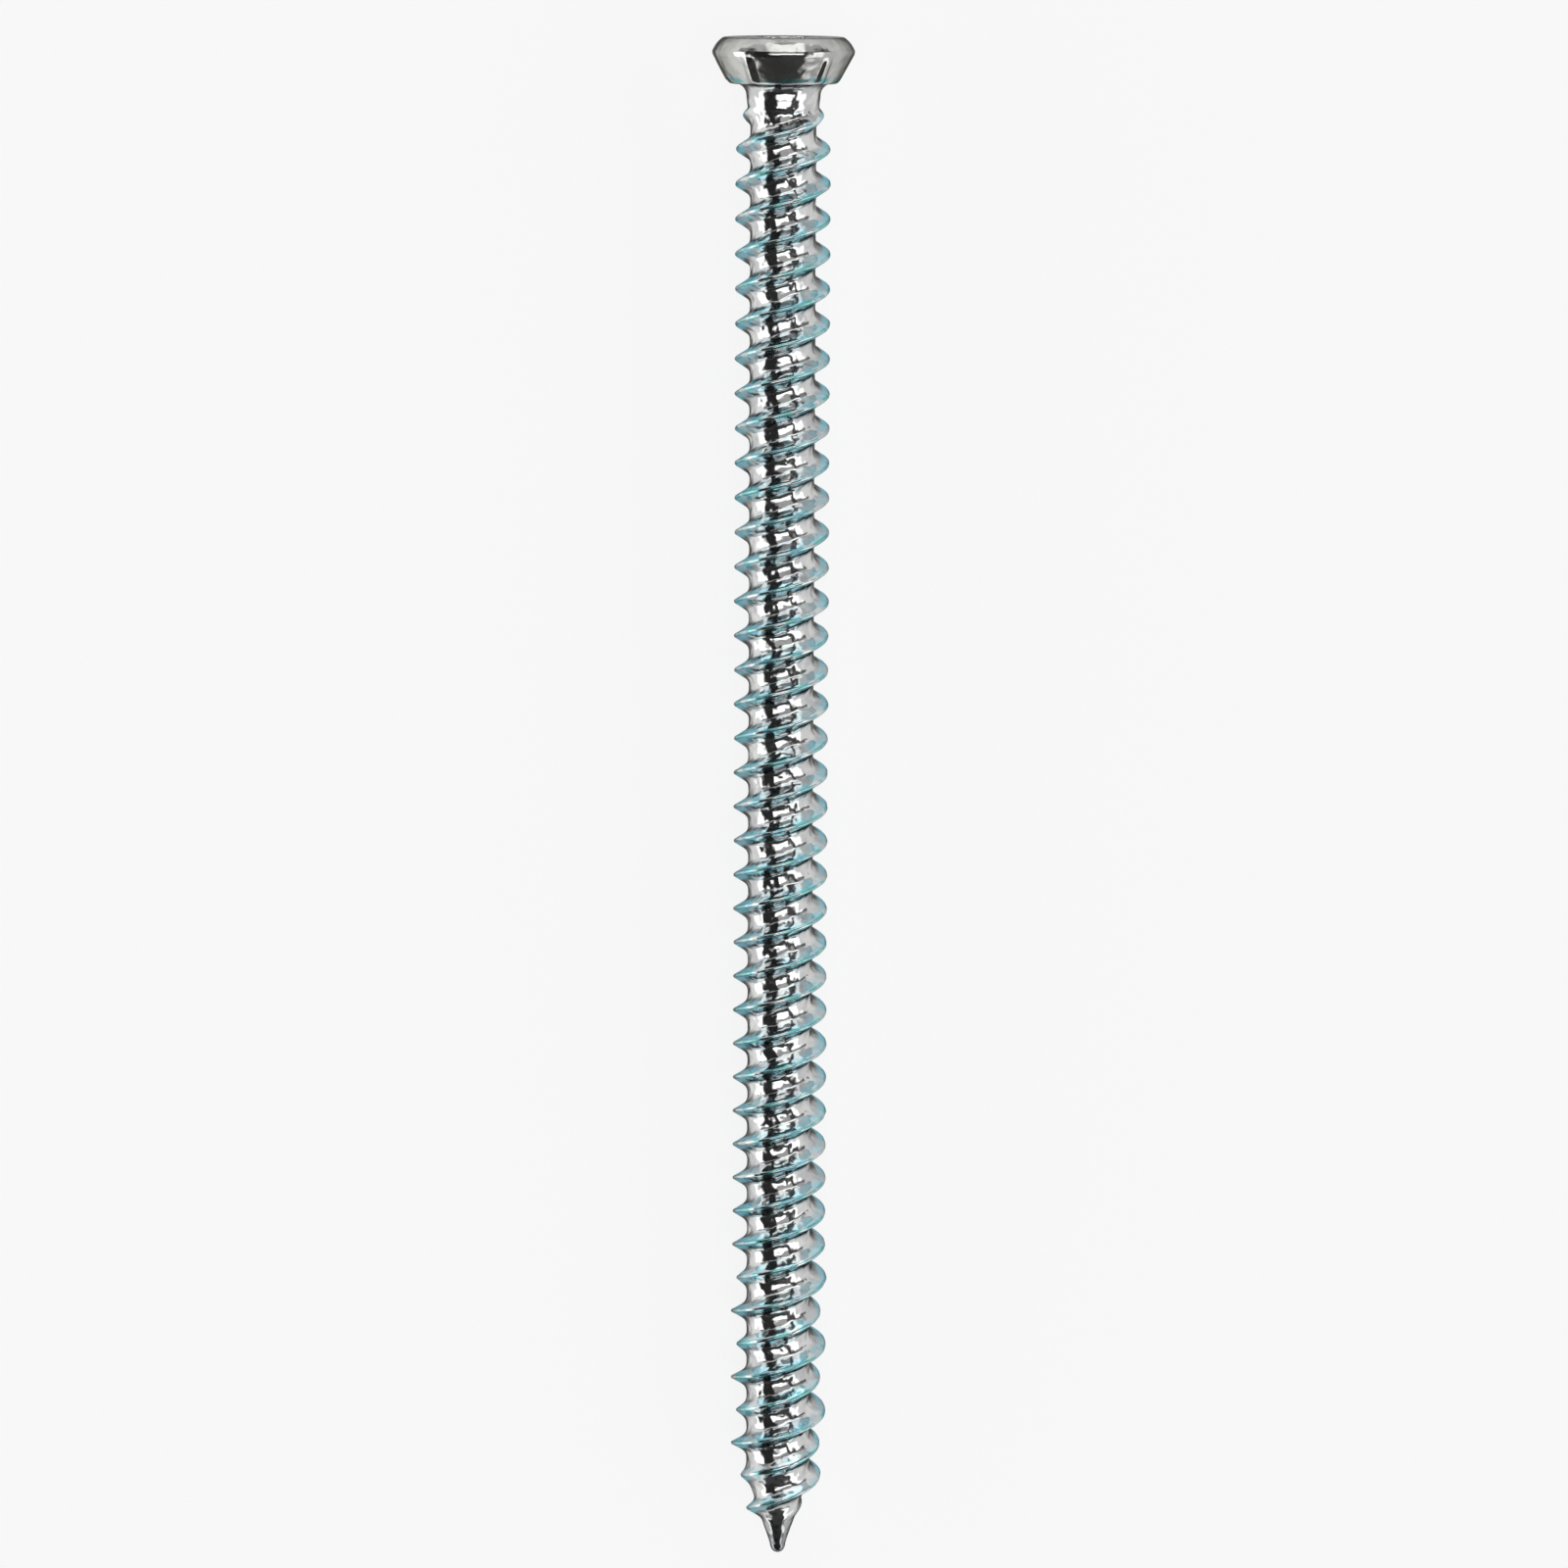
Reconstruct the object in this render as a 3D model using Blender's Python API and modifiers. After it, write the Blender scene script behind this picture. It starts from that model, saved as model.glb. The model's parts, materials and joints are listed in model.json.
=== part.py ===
"""A concrete screw: a small countersunk head with a six-lobe recess and milling ribs under it,
a plain neck, a two-start right-hand thread over the whole shank, and a short cone with a blunt nose.

Lengths are in metres. While it is modelled the screw stands on the Z axis, with its head's top face
at z = 0 and its point below, so a depth is a distance from the head's top along the axis. At the end
it is laid on the ground on its head's rim and its thread, as it comes to rest, with its head at +Y.
The side that then looks up is called the front: while it is modelled that is the -Y side.
"""

import math

import bmesh
import bpy
from mathutils import Matrix, Vector

MM = 0.001

# Whole screw
LENGTH = 122.0 * MM

# Head: a flat top, a slightly rounded chamfer, a narrow land, a cone and a flat ledge under it
HEAD_RADIUS = 5.60 * MM
CHAMFER_WIDTH = 0.85 * MM
CHAMFER_DEPTH = 1.10 * MM
CHAMFER_BULGE = 0.12 * MM
LAND_DEPTH = 0.30 * MM
CONE_DEPTH = 2.20 * MM
LEDGE_WIDTH = 0.45 * MM
HEAD_SEGMENTS = 36

# Neck: a fillet under the head, then a plain stretch, thicker than the thread's core, that narrows
# a little towards the thread
NECK_FILLET = 0.95 * MM
NECK_LENGTH = 1.15 * MM
NECK_STEP = 0.33 * MM
NECK_TAPER = 0.12 * MM
FILLET_SEGMENTS = 4

# Milling ribs on the cone, which rise towards its lower end and stop just above it
RIB_COUNT = 5
RIB_WIDTH = 0.90 * MM
RIB_HEIGHT = 0.22 * MM
RIB_SINK = 0.10 * MM
RIB_END_GAP = 0.12 * MM
RIB_ANGLE = math.radians(40)

# Six-lobe recess, size 30
RECESS_RADIUS = 2.80 * MM
RECESS_VALLEY = 0.82 * MM
RECESS_LOBE_RADIUS = 0.45 * MM
RECESS_DEPTH = 2.90 * MM
RECESS_FLOOR_CONE = 0.45 * MM
RECESS_LOBES = 6
RECESS_ARC_SEGMENTS = 4

# Thread: two starts, so the lead is twice the spacing of its crests
THREAD_STARTS = 2
CREST_SPACING = 2.742 * MM
CREST_RADIUS = 3.75 * MM
CORE_RADIUS = 2.57 * MM
CREST_FLAT = 0.16 * MM
RIDGE_BASE = 1.60 * MM
FRONT_CREST_DEPTH = 1.83 * MM
TURN_SEGMENTS = 24

# At the neck the ridges begin just above its end and rise, quickly at first, to their full height
THREAD_RUN_IN = 0.90 * MM
THREAD_RISE = 5.80 * MM
RISE_POWER = 3

# Towards the point one start stands higher, to cut the concrete, and the other lower
CUTTING_LENGTH = 26.0 * MM
CUTTING_BLEND = 3.0 * MM
HIGH_START_EXTRA = 0.10 * MM
LOW_START_DROP = 0.35 * MM

# Point: a cone, then a rounded nose. The ridges drop where the cone begins and fade out before
# the tip
POINT_LENGTH = 6.70 * MM
POINT_DROP = 0.30 * MM
POINT_BLEND = 3.0 * MM
NOSE_LENGTH = 0.75 * MM
NOSE_RADIUS = 0.62 * MM
NOSE_RINGS = (0.0, 0.5, 0.8)
HIGH_START_END = 1.40 * MM
LOW_START_END = 2.60 * MM
RIDGE_FADE = 2.20 * MM

# How far one body reaches into another before they are joined
OVERLAP = 0.50 * MM
WELD = 0.001 * MM
CUT_SNAP = 0.04 * MM
SHARP_ANGLE = math.radians(30)
LEVEL_NORMAL = 0.999

HEAD_DEPTH = CHAMFER_DEPTH + LAND_DEPTH + CONE_DEPTH
NECK_RADIUS = CORE_RADIUS + NECK_STEP
CONE_END_RADIUS = NECK_RADIUS + NECK_FILLET + LEDGE_WIDTH
NECK_END = HEAD_DEPTH + NECK_FILLET + NECK_LENGTH
NECK_END_RADIUS = NECK_RADIUS - NECK_TAPER
THREAD_TOP = NECK_END - THREAD_RUN_IN
LEAD = THREAD_STARTS * CREST_SPACING
POINT_DEPTH = LENGTH - POINT_LENGTH
NOSE_DEPTH = LENGTH - NOSE_LENGTH
CUTTING_DEPTH = LENGTH - CUTTING_LENGTH
FRONT = -math.pi / 2


def clear_scene():
    for thing in list(bpy.data.objects):
        bpy.data.objects.remove(thing, do_unlink=True)


def new_collection(name):
    collection = bpy.data.collections.new(name)
    bpy.context.scene.collection.children.link(collection)
    return collection


def new_object(name, mesh, collection):
    thing = bpy.data.objects.new(name, mesh)
    collection.objects.link(thing)
    return thing


def finished_mesh(bm, name):
    """A mesh with its faces pointing out, shaded smooth except at sharp edges and level faces."""
    bmesh.ops.recalc_face_normals(bm, faces=bm.faces)
    mesh = bpy.data.meshes.new(name)
    bm.to_mesh(mesh)
    bm.free()
    mesh.shade_smooth()
    mesh.set_sharp_from_angle(angle=SHARP_ANGLE)
    for face in mesh.polygons:
        face.use_smooth = abs(face.normal.z) < LEVEL_NORMAL
    return mesh


def turned(name, outline, segments, rise=0.0, turns=1):
    """Sweeps an outline of (radius, depth) points around Z, and up by the rise for each turn.

    The outline runs downwards. The body is turned half a segment, so that the middle of a flat,
    and not an edge, faces the ground when the screw lies down.
    """
    mesh = bpy.data.meshes.new(name)
    vertices = [(radius, 0.0, -depth) for radius, depth in outline]
    edges = [(i, i + 1) for i in range(len(outline) - 1)]
    mesh.from_pydata(vertices, edges, [])
    sweep = new_object(name, mesh, bpy.context.scene.collection)
    screw = sweep.modifiers.new("sweep", "SCREW")
    screw.axis = "Z"
    screw.angle = math.tau
    screw.steps = segments
    screw.render_steps = segments
    screw.screw_offset = rise
    screw.iterations = turns
    screw.use_merge_vertices = True
    screw.merge_threshold = WELD
    bm = bmesh.new()
    bm.from_object(sweep, bpy.context.evaluated_depsgraph_get())
    bmesh.ops.remove_doubles(bm, verts=bm.verts, dist=WELD)
    half_segment = Matrix.Rotation(math.pi / segments, 3, "Z")
    bmesh.ops.rotate(bm, verts=bm.verts, cent=(0, 0, 0), matrix=half_segment)
    bpy.data.objects.remove(sweep, do_unlink=True)
    return bm


def arc(centre, radius, start, end, segments):
    """Points on an arc in a plane, both ends included."""
    points = []
    for i in range(segments + 1):
        angle = start + (end - start) * i / segments
        points.append((centre[0] + radius * math.cos(angle), centre[1] + radius * math.sin(angle)))
    return points


def head_outline():
    """The head and neck, from the middle of the top face down to a stub inside the thread."""
    flat_radius = HEAD_RADIUS - CHAMFER_WIDTH
    outwards = Vector((CHAMFER_DEPTH, -CHAMFER_WIDTH)).normalized() * CHAMFER_BULGE
    bulge = (HEAD_RADIUS - CHAMFER_WIDTH / 2 + outwards.x, CHAMFER_DEPTH / 2 + outwards.y)
    fillet_centre = (NECK_RADIUS + NECK_FILLET, HEAD_DEPTH + NECK_FILLET)
    fillet = arc(fillet_centre, NECK_FILLET, -math.pi / 2, -math.pi, FILLET_SEGMENTS)
    stub_radius = CORE_RADIUS - OVERLAP
    stub_depth = NECK_END + NECK_END_RADIUS - stub_radius
    return [
        (0.0, 0.0),
        (flat_radius, 0.0),
        bulge,
        (HEAD_RADIUS, CHAMFER_DEPTH),
        (HEAD_RADIUS, CHAMFER_DEPTH + LAND_DEPTH),
        (CONE_END_RADIUS, HEAD_DEPTH),
        *fillet,
        (NECK_END_RADIUS, NECK_END),
        (stub_radius, stub_depth),
        (stub_radius, stub_depth + OVERLAP),
        (0.0, stub_depth + OVERLAP),
    ]


def make_head():
    return finished_mesh(turned("head", head_outline(), HEAD_SEGMENTS), "screw")


def make_ribs():
    """Three-sided bars along the cone, one edge out and the other two inside the head."""
    land_end = Vector((HEAD_RADIUS, 0.0, -(CHAMFER_DEPTH + LAND_DEPTH)))
    cone_end = Vector((CONE_END_RADIUS, 0.0, -HEAD_DEPTH))
    slope = cone_end - land_end
    slope *= 1 - RIB_END_GAP / slope.length
    outwards = Vector((-slope.z, 0.0, slope.x)).normalized()
    bm = bmesh.new()
    for i in range(RIB_COUNT):
        bar = bmesh.ops.create_cone(
            bm, segments=3, radius1=1.0, radius2=1.0, depth=1.0, cap_ends=True)["verts"]
        outermost = max(vertex.co.y for vertex in bar)
        for vertex in bar:
            along = 0.5 - vertex.co.z
            foot = land_end + slope * along
            if vertex.co.y > outermost / 2:
                proud = RIB_HEIGHT * along - RIB_SINK * (1 - along)
                vertex.co = foot + outwards * proud
            else:
                side = math.copysign(RIB_WIDTH, vertex.co.x)
                vertex.co = foot - outwards * RIB_HEIGHT + Vector((0.0, side, 0.0))
        angle = FRONT + RIB_ANGLE + math.tau * i / RIB_COUNT
        bmesh.ops.rotate(bm, verts=bar, cent=(0, 0, 0), matrix=Matrix.Rotation(angle, 3, "Z"))
    mesh = finished_mesh(bm, "ribs")
    mesh.shade_flat()
    return mesh


def recess_outline():
    """The six-lobe outline: the arcs of the lobes, joined by the arcs of the valleys."""
    half_pitch = math.pi / RECESS_LOBES
    lobe_centre = RECESS_RADIUS - RECESS_LOBE_RADIUS
    valley_radius = RECESS_RADIUS - RECESS_VALLEY
    reach = lobe_centre * math.cos(half_pitch)
    apart = lobe_centre ** 2 + valley_radius ** 2 - 2 * reach * valley_radius
    valley_arc = (apart - RECESS_LOBE_RADIUS ** 2) / (2 * (reach + RECESS_LOBE_RADIUS - valley_radius))
    valley_centre = Matrix.Rotation(half_pitch, 2) @ Vector((valley_radius + valley_arc, 0.0))
    tangent = valley_centre - Vector((lobe_centre, 0.0))
    lobe_end = math.atan2(tangent.y, tangent.x)
    valley_start = lobe_end - math.pi
    valley_end = 2 * half_pitch - valley_start - math.tau
    lobe = arc((lobe_centre, 0.0), RECESS_LOBE_RADIUS, -lobe_end, lobe_end, RECESS_ARC_SEGMENTS)
    valley = arc(valley_centre, valley_arc, valley_start, valley_end, RECESS_ARC_SEGMENTS)
    points = []
    for i in range(RECESS_LOBES):
        spin = Matrix.Rotation(2 * half_pitch * i, 2)
        points.extend(spin @ Vector(point) for point in lobe + valley[1:-1])
    return points


def make_recess_cutter():
    """The recess's outline carried down into the head, with a shallow cone for its floor."""
    bm = bmesh.new()
    rim = [bm.verts.new((point.x, point.y, OVERLAP)) for point in recess_outline()]
    lid = bm.faces.new(rim)
    lower = bmesh.ops.extrude_face_region(bm, geom=[lid])["geom"]
    lower_points = [item for item in lower if isinstance(item, bmesh.types.BMVert)]
    floor = [item for item in lower if isinstance(item, bmesh.types.BMFace)]
    bmesh.ops.translate(bm, verts=lower_points, vec=(0, 0, -(OVERLAP + RECESS_DEPTH)))
    middle = bmesh.ops.poke(bm, faces=floor)["verts"][0]
    middle.co = (0.0, 0.0, -(RECESS_DEPTH + RECESS_FLOOR_CONE))
    return finished_mesh(bm, "recess_cutter")


def smooth_step(value, start, end):
    """0 before the start, 1 after the end and an even curve between."""
    share = min(max((value - start) / (end - start), 0.0), 1.0)
    return share * share * (3 - 2 * share)


def core_radius(depth):
    """The radius between the ridges: level along the shank, then a cone, then the rounded nose."""
    if depth <= POINT_DEPTH:
        return CORE_RADIUS
    if depth <= NOSE_DEPTH:
        share = (depth - POINT_DEPTH) / (NOSE_DEPTH - POINT_DEPTH)
        return CORE_RADIUS + (NOSE_RADIUS - CORE_RADIUS) * share
    share = (depth - NOSE_DEPTH) / NOSE_LENGTH
    return NOSE_RADIUS * math.sqrt(max(1 - share * share, 0.0))


def ridge_height(angle, depth):
    """How far the nearest ridge's crest stands out from the core."""
    leads_from_crest = (depth - FRONT_CREST_DEPTH) / LEAD + (angle - FRONT) / math.tau
    on_high_start = abs(leads_from_crest - round(leads_from_crest)) < 0.5 / THREAD_STARTS
    change = HIGH_START_EXTRA if on_high_start else -LOW_START_DROP
    end = LENGTH - (HIGH_START_END if on_high_start else LOW_START_END)
    full = CREST_RADIUS - CORE_RADIUS
    full += change * smooth_step(depth, CUTTING_DEPTH, CUTTING_DEPTH + CUTTING_BLEND)
    full -= POINT_DROP * smooth_step(depth, POINT_DEPTH - POINT_BLEND, POINT_DEPTH)
    rise = min(max((depth - THREAD_TOP) / THREAD_RISE, 0.0), 1.0)
    fade = 1 - smooth_step(depth, end - RIDGE_FADE, end)
    return full * (1 - (1 - rise) ** RISE_POWER) * fade


def thread_outline():
    """One lead of the thread's section, from a ridge's upper foot to the same foot a lead lower."""
    points = []
    for start in range(THREAD_STARTS):
        crest = CREST_SPACING * start
        points.append((CORE_RADIUS, crest - RIDGE_BASE / 2))
        points.append((CREST_RADIUS, crest - CREST_FLAT / 2))
        points.append((CREST_RADIUS, crest + CREST_FLAT / 2))
        points.append((CORE_RADIUS, crest + RIDGE_BASE / 2))
    points.append((CORE_RADIUS, LEAD - RIDGE_BASE / 2))
    return points


def cut_across(bm, depth, drop_above=False, drop_below=False):
    """Cuts the body at a depth, drops what is asked for and returns the edges of the cut."""
    geometry = bm.verts[:] + bm.edges[:] + bm.faces[:]
    cut = bmesh.ops.bisect_plane(
        bm, geom=geometry, dist=CUT_SNAP, plane_co=(0, 0, -depth), plane_no=(0, 0, 1),
        clear_outer=drop_above, clear_inner=drop_below)["geom_cut"]
    return [item for item in cut if isinstance(item, bmesh.types.BMEdge)]


def shape_shank(bm):
    """Gives the even thread its rise at the neck, its unequal cutting crests and its point."""
    for vertex in bm.verts:
        depth = -vertex.co.z
        radius = math.hypot(vertex.co.x, vertex.co.y)
        angle = math.atan2(vertex.co.y, vertex.co.x)
        share = max((radius - CORE_RADIUS) / (CREST_RADIUS - CORE_RADIUS), 0.0)
        wanted = core_radius(depth) + share * ridge_height(angle, depth)
        vertex.co.x *= wanted / radius
        vertex.co.y *= wanted / radius


def make_thread():
    """The threaded shank from inside the neck down to the tip."""
    outline_angle = math.pi / TURN_SEGMENTS
    first_crest = FRONT_CREST_DEPTH - LEAD * (outline_angle - FRONT) / math.tau
    leads_down = math.ceil((LENGTH + RIDGE_BASE - first_crest) / LEAD)
    lowest_crest = first_crest + LEAD * leads_down
    turns = math.ceil((lowest_crest - THREAD_TOP) / LEAD) + 1
    bm = turned("thread", thread_outline(), TURN_SEGMENTS, rise=LEAD, turns=turns)
    bmesh.ops.translate(bm, verts=bm.verts, vec=(0, 0, -lowest_crest))
    bmesh.ops.edgeloop_fill(bm, edges=cut_across(bm, THREAD_TOP, drop_above=True))
    cut_across(bm, POINT_DEPTH)
    for share in NOSE_RINGS:
        cut_across(bm, NOSE_DEPTH + NOSE_LENGTH * share)
    cut_across(bm, LENGTH, drop_below=True)
    shape_shank(bm)
    tip = [vertex for vertex in bm.verts if -vertex.co.z > LENGTH - CUT_SNAP]
    bmesh.ops.pointmerge(bm, verts=tip, merge_co=(0, 0, -LENGTH))
    return finished_mesh(bm, "thread")


def zinc_plate():
    """Bright zinc plate with the faint blue-green tint of its passivation."""
    material = bpy.data.materials.new("zinc_plated_steel")
    material.use_nodes = True
    shader = material.node_tree.nodes["Principled BSDF"]
    shader.inputs["Base Color"].default_value = (0.60, 0.66, 0.67, 1.0)
    shader.inputs["Metallic"].default_value = 1.0
    shader.inputs["Roughness"].default_value = 0.22
    return material


def join(body, other, operation):
    """Adds the other body to this one, or cuts it out, and keeps the other as a guide."""
    boolean = body.modifiers.new(other.name, "BOOLEAN")
    boolean.operation = operation
    boolean.solver = "EXACT"
    boolean.object = other
    other.hide_render = True
    other.display_type = "WIRE"


def lying_pose(body):
    """The turn and place that lay the body on its head's rim and its thread, centred, at z = 0."""
    mesh = body.evaluated_get(bpy.context.evaluated_depsgraph_get()).to_mesh()
    rim_height, rim_depth = max((vertex.co.y, -vertex.co.z) for vertex in mesh.vertices)
    slopes = [
        (rim_height - vertex.co.y) / (-vertex.co.z - rim_depth)
        for vertex in mesh.vertices if -vertex.co.z > HEAD_DEPTH]
    turn = Matrix.Rotation(math.atan(min(slopes)) - math.pi / 2, 4, "X")
    placed = [turn @ vertex.co for vertex in mesh.vertices]
    middle = [(max(p[i] for p in placed) + min(p[i] for p in placed)) / 2 for i in (0, 1)]
    lowest = min(p.z for p in placed)
    return turn.to_euler(), (-middle[0], -middle[1], -lowest)


def build():
    clear_scene()
    parts = new_collection("concrete_screw")
    cutters = new_collection("cutters")
    screw = new_object("screw", make_head(), parts)
    ribs = new_object("ribs", make_ribs(), cutters)
    thread = new_object("thread", make_thread(), cutters)
    recess = new_object("recess_cutter", make_recess_cutter(), cutters)
    join(screw, ribs, "UNION")
    join(screw, thread, "UNION")
    join(screw, recess, "DIFFERENCE")
    screw.data.materials.append(zinc_plate())
    rotation, place = lying_pose(screw)
    for thing in (screw, ribs, thread, recess):
        thing.rotation_euler = rotation
        thing.location = place


build()
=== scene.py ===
import json
import math

import bmesh
import bpy
from mathutils import Matrix, Vector


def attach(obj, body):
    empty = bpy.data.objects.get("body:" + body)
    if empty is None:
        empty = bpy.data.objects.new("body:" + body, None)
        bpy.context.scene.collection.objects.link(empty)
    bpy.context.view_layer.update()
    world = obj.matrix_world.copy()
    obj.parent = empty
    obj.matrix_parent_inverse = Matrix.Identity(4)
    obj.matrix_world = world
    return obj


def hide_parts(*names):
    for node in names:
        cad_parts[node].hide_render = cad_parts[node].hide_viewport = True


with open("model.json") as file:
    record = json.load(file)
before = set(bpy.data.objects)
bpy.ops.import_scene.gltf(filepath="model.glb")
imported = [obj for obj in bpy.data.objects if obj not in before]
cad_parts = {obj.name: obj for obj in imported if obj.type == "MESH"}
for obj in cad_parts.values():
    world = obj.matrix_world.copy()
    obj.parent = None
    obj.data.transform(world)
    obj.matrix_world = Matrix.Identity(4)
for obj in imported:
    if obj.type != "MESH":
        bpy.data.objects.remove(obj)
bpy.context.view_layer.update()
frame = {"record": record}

MM = 0.001

# The screw in its own frame: its axis is Z, its head's top is at z = 0 and its tip below. A depth is
# the distance below the head's top. The front, which looks up once the screw lies down, is -Y, and
# an angle is counted from the front towards +X.
LENGTH = 122.0 * MM

# Head and neck
HEAD_RADIUS = 5.60 * MM
CHAMFER_WIDTH = 0.85 * MM
CHAMFER_DEPTH = 1.10 * MM
CHAMFER_BULGE = 0.12 * MM
LAND_DEPTH = 0.30 * MM
LAND_TAPER = 0.08 * MM
CONE_DEPTH = 2.20 * MM
LEDGE_WIDTH = 0.45 * MM
NECK_FILLET = 0.95 * MM
NECK_LENGTH = 1.15 * MM
NECK_RADIUS = 2.90 * MM
NECK_TAPER = 0.12 * MM
NECK_STEP_RISE = 0.08 * MM
NECK_STEP_FALL = 0.15 * MM
NECK_BLEND = 0.12 * MM
NECK_BLEND_LENGTH = 1.5 * MM
LAND_END = CHAMFER_DEPTH + LAND_DEPTH
HEAD_DEPTH = LAND_END + CONE_DEPTH
NECK_START = HEAD_DEPTH + NECK_FILLET
NECK_END = NECK_START + NECK_LENGTH

# Roundings of the head's edges, from the top down
TOP_ROUNDING = 0.22 * MM
CHAMFER_ROUNDING = 0.35 * MM
SHOULDER_ROUNDING = 0.14 * MM
LAND_ROUNDING = 0.06 * MM
LEDGE_ROUNDING = 0.55 * MM

# Milling ribs on the cone: the foot and the run-outs are shares of the cone's depth
RIB_COUNT = 5
RIB_HALF_WIDTH = 0.60 * MM
RIB_HEIGHT = 0.22 * MM
RIB_ANGLE = math.radians(40)
RIB_TOP_RUN_OUT = 0.20
RIB_FOOT_RUN_OUT = 0.15
RIB_FOOT = 1.03
RIB_LEDGE_GAP = 0.12 * MM

# Six-lobe recess, size 30
RECESS_RADIUS = 2.80 * MM
RECESS_VALLEY = 0.82 * MM
RECESS_LOBE_RADIUS = 0.45 * MM
RECESS_DEPTH = 2.90 * MM
RECESS_FLOOR_CONE = 0.45 * MM
RECESS_EDGE = 0.16 * MM
RECESS_LOBES = 6
RECESS_FIRST_LOBE = math.radians(90)

# Thread: two starts of equal ridges. The front crest depth is where the high start's first crest
# would pass the front, and its other crests lie whole leads below it.
CREST_SPACING = 2.742 * MM
LEAD = 2 * CREST_SPACING
CREST_RADIUS = 3.75 * MM
CORE_RADIUS = 2.57 * MM
CREST_ROUNDING = 0.15 * MM
ROOT_FILLET = 0.70 * MM
FLANK_ANGLE = math.radians(30)
FRONT_CREST_DEPTH = 1.83 * MM
THREAD_TOP = NECK_END - 0.90 * MM
THREAD_RISE = 5.80 * MM
RISE_POWER = 3.0

# Unequal crests towards the point, and the point itself
CUTTING_DEPTH = LENGTH - 26.0 * MM
CUTTING_BLEND = 3.0 * MM
HIGH_START_EXTRA = 0.10 * MM
LOW_START_DROP = 0.35 * MM
POINT_DEPTH = LENGTH - 6.70 * MM
POINT_DROP = 0.30 * MM
POINT_BLEND = 3.0 * MM
NOSE_DEPTH = LENGTH - 0.75 * MM
NOSE_RADIUS = 0.62 * MM
HIGH_START_END = LENGTH - 1.40 * MM
LOW_START_END = LENGTH - 2.60 * MM
RIDGE_FADE = 2.20 * MM

# Unevenness that rolling leaves on the shank: low waves all over and uneven crests
WAVE_LENGTH = 1.1 * MM
WAVE_HEIGHT = 0.050 * MM
CREST_UNEVENNESS = 0.05 * MM
CREST_POWER = 3.0

# Fineness of the meshes
THREAD_SEGMENTS = 80
HEAD_SEGMENTS = 288
CREST_STEPS = 2
ROOT_STEPS = 3
CONE_STEPS = 10
FILLET_STEPS = 10
ROUNDING_STEPS = 4
EDGE_HOLD = 0.02 * MM
LONGEST_ROUNDING = 0.45
FLAT_EDGE_WIDTH = 0.30 * MM
LEDGE_HOLD = 0.05 * MM
LONG_STEP = 0.5 * MM
RECESS_FLOOR_RINGS = (0.25, 0.5, 0.75, 0.94)
RECESS_WALL_DEPTHS = (RECESS_DEPTH - 0.08 * MM, RECESS_DEPTH * 0.6, RECESS_DEPTH * 0.3)
FLAT_TOP_RINGS = (0.35, 0.7)
WELD = 0.001 * MM
SHARP_EDGE = math.radians(50)

# Where the screw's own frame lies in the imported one, from the mount on its head
HEAD_MOUNT_RADIUS = 3.8 * MM
HEAD_AXIS_HEIGHT = 5.57 * MM

# Where the plate's look changes along the lying screw, as places on its Y: the ledge is at 57.35 mm
DULL_HEAD = (57.40 * MM, 57.60 * MM)
LEDGE_FILM_TOP = (57.95 * MM, 57.75 * MM)
LEDGE_FILM_FOOT = (57.42 * MM, 57.52 * MM)
CALM_NECK = (55.5 * MM, 57.5 * MM)
# The tip's painted shade fades in between these places
TIP_PAINTED_SHADE = (-57.0 * MM, -60.0 * MM)

# The ledge's film starts outside the recess, at this distance from the head's axis
LEDGE_FILM_INSIDE = (3.2 * MM, 3.5 * MM)

# Where the look changes up a ridge: 0 at the root and 1 on the crest
FLANK_FILM = (0.30, 0.60)
FLANK_EDGE = (0.30, 0.55)
CREST_FILM = (0.80, 0.94)
CREST_EDGE = (0.80, 0.95)
CREST_RUB = (0.93, 0.99)
CALM_FLANK = (0.05, 0.35)

# Sizes of the plate's patterns. The zinc's crystals are a few micrometres, too fine to show, so
# their grain is drawn at 0.3 mm.
MOTTLE_SIZE = 1.8 * MM
FILM_PATCH_SIZE = 1.3 * MM
FILM_HUE_SIZE = 0.9 * MM
RIPPLE_SIZE = 0.62 * MM
RIPPLE_HEIGHT = 0.13 * MM
GRAIN_SIZE = 0.3 * MM

# Floor: it lies just under the waves of the lowest crests, and glows a little less than white, so
# that the screw's shadow shows on it. Beside the screw, in the plate's mirror, it carries a painted
# shadow up to these places.
FLOOR_SIZE = 3.0
FLOOR_GAP = 0.05 * MM
FLOOR_GLOW = 0.85
SHADED_FLOOR = 6.0 * MM
CLEAR_FLOOR = 10.0 * MM

# Camera, at the photograph's angle: lens and sensor in millimetres, distances in metres
CAMERA_PLACE = (0.0, 66.41 * MM, 470.0 * MM)
CAMERA_TURN = (math.radians(-7.879), 0.0, math.radians(0.239))
CAMERA_LENS = 135.67
SENSOR = 36.0
CLIP_START = 0.01

# The kinds of node that occur most
MATH = "ShaderNodeMath"
RANGE = "ShaderNodeMapRange"
MIX = "ShaderNodeMix"
NOISE = "ShaderNodeTexNoise"
VECTOR = "ShaderNodeVectorMath"


def own_frame():
    """The matrix from the screw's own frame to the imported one."""
    mount = next(m for m in frame["record"]["mounts"] if m["name"] == "head_top")
    along = Vector(mount["axis"]).normalized()
    side = Vector((1.0, 0.0, 0.0))
    front = side.cross(along)
    top = Vector(mount["pos_m"]) - front * HEAD_MOUNT_RADIUS
    turn = Matrix((side, -front, along)).transposed().to_4x4()
    return Matrix.Translation(top) @ turn


def linear(colour):
    """An sRGB hex colour as the linear values that a shader takes."""
    channels = [int(colour[i:i + 2], 16) / 255 for i in (1, 3, 5)]
    values = [c / 12.92 if c <= 0.04045 else ((c + 0.055) / 1.055) ** 2.4 for c in channels]
    return (*values, 1.0)


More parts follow.
